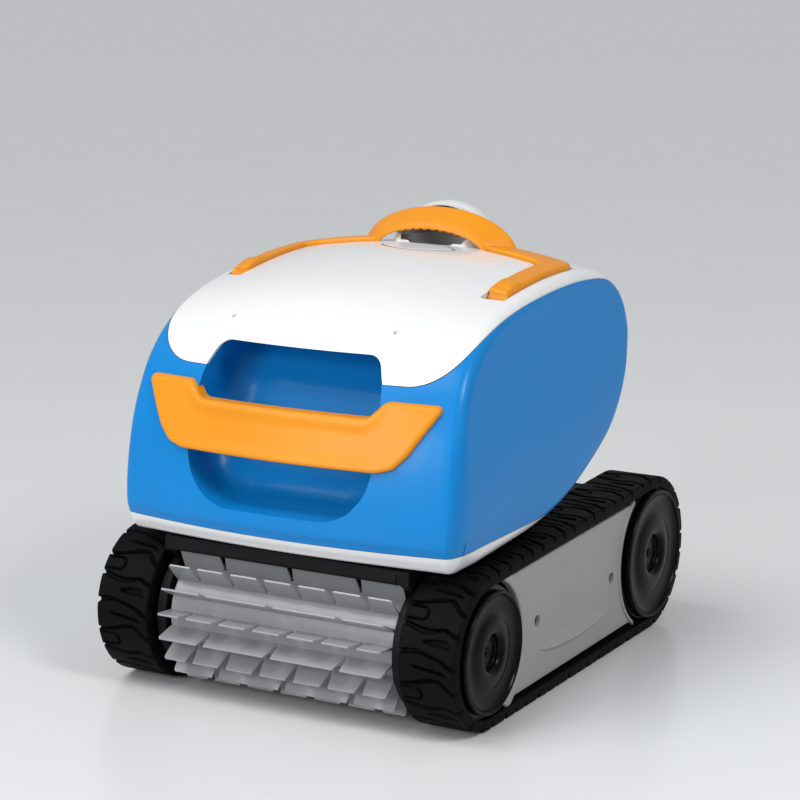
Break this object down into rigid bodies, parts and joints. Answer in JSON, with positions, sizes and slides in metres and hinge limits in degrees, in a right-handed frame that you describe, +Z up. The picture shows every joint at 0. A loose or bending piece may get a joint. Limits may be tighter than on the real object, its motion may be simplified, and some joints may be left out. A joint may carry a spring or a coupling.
{
  "type": "pool cleaner",
  "caption": "Tracked robotic pool cleaner with a domed body, hinged lid, front handle, folding carry handle, finned scrubbing brush and pump with outlet hood.",
  "frame": {"origin": "middle of the machine's outline, at floor level under the tracks", "axes": "+Z up. The front, with the brush and the front handle, faces -Y. +X is the right side as seen by someone looking at the front, and nodes named right are on that side"},
  "size_m": [0.32, 0.4295, 0.362],
  "materials": {
    "black_plastic": "satin",
    "white_gloss": "gloss",
    "blue_gloss": "gloss",
    "orange_plastic": "satin",
    "grey_plastic": "satin",
    "light_grey_plastic": "satin",
    "dark_grey_plastic": "matte",
    "black_gloss": "gloss",
    "track_rubber": "matte",
    "brush_pvc": "satin",
    "stainless": "brushed",
    "black_steel": "satin",
    "mesh_fabric": "matte",
    "acetal": "satin",
    "inlay_grey": "satin"
  },
  "bodies": {
    "chassis": {"chassis": "black_plastic", "bottom_plate": "black_plastic", "body_tub": "white_gloss", "front_side_shell": "blue_gloss", "front_handle": "orange_plastic", "lid_hinge_pins": "stainless", "duct_ring": "dark_grey_plastic", "motor_housing": "dark_grey_plastic", "motor_cap": "dark_grey_plastic", "motor_cap_screws": "stainless", "pump_motor": "grey_plastic", "cable_gland": "black_plastic", "filter_frame": "light_grey_plastic", "filter_mesh": "mesh_fabric", "suction_duct": "black_plastic", "pedestal": "black_plastic", "flap_pins": "stainless", "side_plate_left": "grey_plastic", "side_plate_right": "grey_plastic", "side_plate_screws": "black_steel", "track_left": "track_rubber", "track_right": "track_rubber", "axle_front_left": "stainless", "axle_front_right": "stainless", "axle_rear_left": "stainless", "axle_rear_right": "stainless", "axle_washers": "stainless", "axle_screws": "stainless", "drive_motor_left": "dark_grey_plastic", "drive_motor_right": "dark_grey_plastic", "hull_screws": "stainless", "front_handle_screws": "stainless"},
    "lid": {"lid": "white_gloss", "badge_inlay": "inlay_grey", "outlet_hood": "white_gloss", "outlet_grille": "light_grey_plastic", "carry_handle_pins": "stainless"},
    "carry_handle": {"carry_handle": "orange_plastic"},
    "flap_front": {"intake_flap_front": "brush_pvc"},
    "flap_rear": {"intake_flap_rear": "brush_pvc"},
    "front_left_wheel": {"wheel_front_left": "dark_grey_plastic", "wheel_cap_front_left": "black_gloss"},
    "front_right_wheel": {"wheel_front_right": "dark_grey_plastic", "wheel_cap_front_right": "black_gloss"},
    "rear_left_wheel": {"wheel_rear_left": "dark_grey_plastic", "wheel_cap_rear_left": "black_gloss"},
    "rear_right_wheel": {"wheel_rear_right": "dark_grey_plastic", "wheel_cap_rear_right": "black_gloss"},
    "left_pinion": {"drive_pinion_left": "acetal"},
    "right_pinion": {"drive_pinion_right": "acetal"},
    "brush": {"brush_core": "grey_plastic", "brush_blades": "brush_pvc"},
    "impeller": {"impeller": "dark_grey_plastic", "impeller_shaft": "stainless"}
  },
  "joints": [
    {"name": "lid_hinge", "type": "hinge", "parent": "chassis", "child": "lid", "pos_m": [0, 0.13, 0.305], "axis": [-1, 0, 0], "range_deg": [0, 75]},
    {"name": "carry_handle_hinge", "type": "hinge", "parent": "lid", "child": "carry_handle", "pos_m": [0, -0.06, 0.308], "axis": [1, 0, 0], "range_deg": [0, 100]},
    {"name": "front_flap_hinge", "type": "hinge", "parent": "chassis", "child": "flap_front", "pos_m": [0, -0.0675, 0.0265], "axis": [1, 0, 0], "range_deg": [0, 65]},
    {"name": "rear_flap_hinge", "type": "hinge", "parent": "chassis", "child": "flap_rear", "pos_m": [0, -0.039, 0.0265], "axis": [1, 0, 0], "range_deg": [0, 65]},
    {"name": "rear_left_wheel_spin", "type": "hinge", "parent": "chassis", "child": "rear_left_wheel", "pos_m": [-0.13, 0.1495, 0.0653], "axis": [1, 0, 0], "continuous": true},
    {"name": "rear_right_wheel_spin", "type": "hinge", "parent": "chassis", "child": "rear_right_wheel", "pos_m": [0.13, 0.1495, 0.0653], "axis": [1, 0, 0], "continuous": true},
    {"name": "front_left_wheel_spin", "type": "hinge", "parent": "chassis", "child": "front_left_wheel", "pos_m": [-0.13, -0.1505, 0.06], "axis": [1, 0, 0], "continuous": true},
    {"name": "front_right_wheel_spin", "type": "hinge", "parent": "chassis", "child": "front_right_wheel", "pos_m": [0.13, -0.1505, 0.06], "axis": [1, 0, 0], "continuous": true},
    {"name": "left_pinion_spin", "type": "hinge", "parent": "chassis", "child": "left_pinion", "pos_m": [-0.113, 0.103, 0.0653], "axis": [1, 0, 0], "continuous": true},
    {"name": "right_pinion_spin", "type": "hinge", "parent": "chassis", "child": "right_pinion", "pos_m": [0.113, 0.103, 0.0653], "axis": [1, 0, 0], "continuous": true},
    {"name": "brush_spin", "type": "hinge", "parent": "chassis", "child": "brush", "pos_m": [0, -0.158, 0.062], "axis": [1, 0, 0], "continuous": true},
    {"name": "impeller_spin", "type": "hinge", "parent": "chassis", "child": "impeller", "pos_m": [0, 0.072, 0.277], "axis": [0, 0, 1], "continuous": true}
  ],
  "couplings": [
    {"joint": "front_left_wheel_spin", "follows": "rear_left_wheel_spin", "ratio": 1.1052},
    {"joint": "front_right_wheel_spin", "follows": "rear_right_wheel_spin", "ratio": 1.1052},
    {"joint": "left_pinion_spin", "follows": "rear_left_wheel_spin", "ratio": -3.4286},
    {"joint": "right_pinion_spin", "follows": "rear_right_wheel_spin", "ratio": -3.4286}
  ]
}
